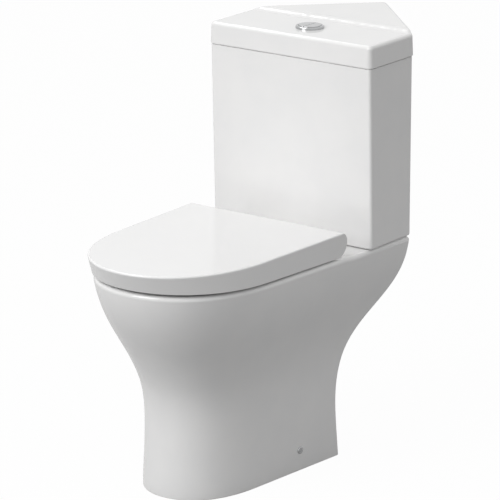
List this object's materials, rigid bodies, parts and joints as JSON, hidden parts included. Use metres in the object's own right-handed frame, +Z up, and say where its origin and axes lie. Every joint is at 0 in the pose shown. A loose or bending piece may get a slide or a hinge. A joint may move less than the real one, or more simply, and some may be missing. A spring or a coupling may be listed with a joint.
{
  "type": "corner toilet",
  "caption": "Close-coupled corner toilet with a skirted pan, a cistern shaped for a right-angled corner, a wrap-over seat cover and a round dual-flush button.",
  "frame": {"origin": "on the floor, below the middle of the bounding box; X = 0 is the plane of symmetry", "axes": "+Z up, -Y towards the user (front of the bowl), +Y towards the room's corner, +X to the right when seen from the front"},
  "size_m": [0.3746, 0.8402, 0.813],
  "materials": {
    "white_china": "gloss glaze",
    "white_seat_plastic": "gloss",
    "chrome_plastic": "polished",
    "steel": "satin",
    "white_valve_plastic": "moulded satin",
    "grey_valve_plastic": "moulded satin",
    "black_rubber": "matt",
    "pale_bumper_rubber": "satin"
  },
  "bodies": {
    "root": {"cistern_tank": "white_china", "coupling_bolts": "steel", "coupling_wing_nuts": "grey_valve_plastic", "deck_bolt_seals": "black_rubber", "deck_bolt_washers": "steel", "doughnut_washer": "black_rubber", "fill_valve": "white_valve_plastic", "fill_valve_backnut": "grey_valve_plastic", "fill_valve_washer": "black_rubber", "float_arm_pin": "steel", "floor_brackets": "steel", "flush_valve_backnut": "grey_valve_plastic", "flush_valve_base": "white_valve_plastic", "flush_valve_head": "white_valve_plastic", "flush_valve_tower": "white_valve_plastic", "flush_valve_washer": "black_rubber", "hinge_pads": "black_rubber", "hinge_pins": "steel", "hinge_posts": "steel", "lift_lever_pin": "steel", "pan": "white_china", "screw_caps": "chrome_plastic", "seat_fixing_washers": "black_rubber", "seat_studs": "steel", "seat_wing_nuts": "grey_valve_plastic", "side_screws": "steel", "tank_bolt_seals": "black_rubber", "tank_bolt_washers": "steel", "wall_fixing_seals": "black_rubber", "wall_fixing_washers": "grey_valve_plastic"},
    "seat_ring": {"seat_ring": "white_seat_plastic", "seat_damper": "grey_valve_plastic", "seat_hinge_bush": "grey_valve_plastic", "ring_bumpers": "pale_bumper_rubber"},
    "seat_cover": {"seat_cover": "white_seat_plastic", "cover_damper": "grey_valve_plastic", "cover_hinge_bush": "grey_valve_plastic", "cover_bumpers": "pale_bumper_rubber"},
    "cistern_lid": {"cistern_lid": "white_china", "button_bezel": "chrome_plastic", "button_locknut": "grey_valve_plastic"},
    "full_button": {"full_flush_button": "chrome_plastic", "full_flush_rod": "grey_valve_plastic", "full_button_spring": "steel"},
    "half_button": {"half_flush_button": "chrome_plastic", "half_flush_rod": "grey_valve_plastic", "half_button_spring": "steel"},
    "overflow_tube": {"overflow_tube": "white_valve_plastic", "flush_seal": "black_rubber"},
    "lift_lever": {"lift_lever": "grey_valve_plastic"},
    "float": {"float_cup": "white_valve_plastic", "float_link": "grey_valve_plastic"},
    "float_arm": {"float_arm": "grey_valve_plastic"}
  },
  "joints": [
    {"name": "seat_hinge", "type": "hinge", "parent": "root", "child": "seat_ring", "pos_m": [0, 0.01286, 0.443], "axis": [-1, 0, 0], "range_deg": [0, 96]},
    {"name": "cover_hinge", "type": "hinge", "parent": "seat_ring", "child": "seat_cover", "pos_m": [0, 0.01286, 0.443], "axis": [1, 0, 0], "range_deg": [-98, 0]},
    {"name": "lid_lift", "type": "slide", "parent": "root", "child": "cistern_lid", "axis": [0, 0, 1], "range_m": [0, 0.12]},
    {"name": "full_button_press", "type": "slide", "parent": "cistern_lid", "child": "full_button", "axis": [0, 0, -1], "range_m": [0, 0.006], "stiffness_N_per_m": 400, "springref_m": -0.002, "deforming": ["full_button_spring"]},
    {"name": "half_button_press", "type": "slide", "parent": "cistern_lid", "child": "half_button", "axis": [0, 0, -1], "range_m": [0, 0.006], "stiffness_N_per_m": 400, "springref_m": -0.002, "deforming": ["half_button_spring"]},
    {"name": "tube_lift", "type": "slide", "parent": "root", "child": "overflow_tube", "axis": [0, 0, 1], "range_m": [0, 0.012]},
    {"name": "lever_rock", "type": "hinge", "parent": "root", "child": "lift_lever", "pos_m": [-0.002, 0.15886, 0.718], "axis": [0, 1, 0], "range_deg": [0, 25]},
    {"name": "float_rise", "type": "slide", "parent": "root", "child": "float", "axis": [0, 0, 1], "range_m": [0, 0.012]},
    {"name": "float_arm_swing", "type": "hinge", "parent": "root", "child": "float_arm", "pos_m": [-0.085, 0.27786, 0.736], "axis": [0, -1, 0], "range_deg": [0, 14.5]}
  ],
  "couplings": [
    {"joint": "tube_lift", "follows": "full_button_press", "ratio": 2},
    {"joint": "lever_rock", "follows": "full_button_press", "rad_per_m": 71.7},
    {"joint": "float_arm_swing", "follows": "float_rise", "rad_per_m": 20.8}
  ]
}
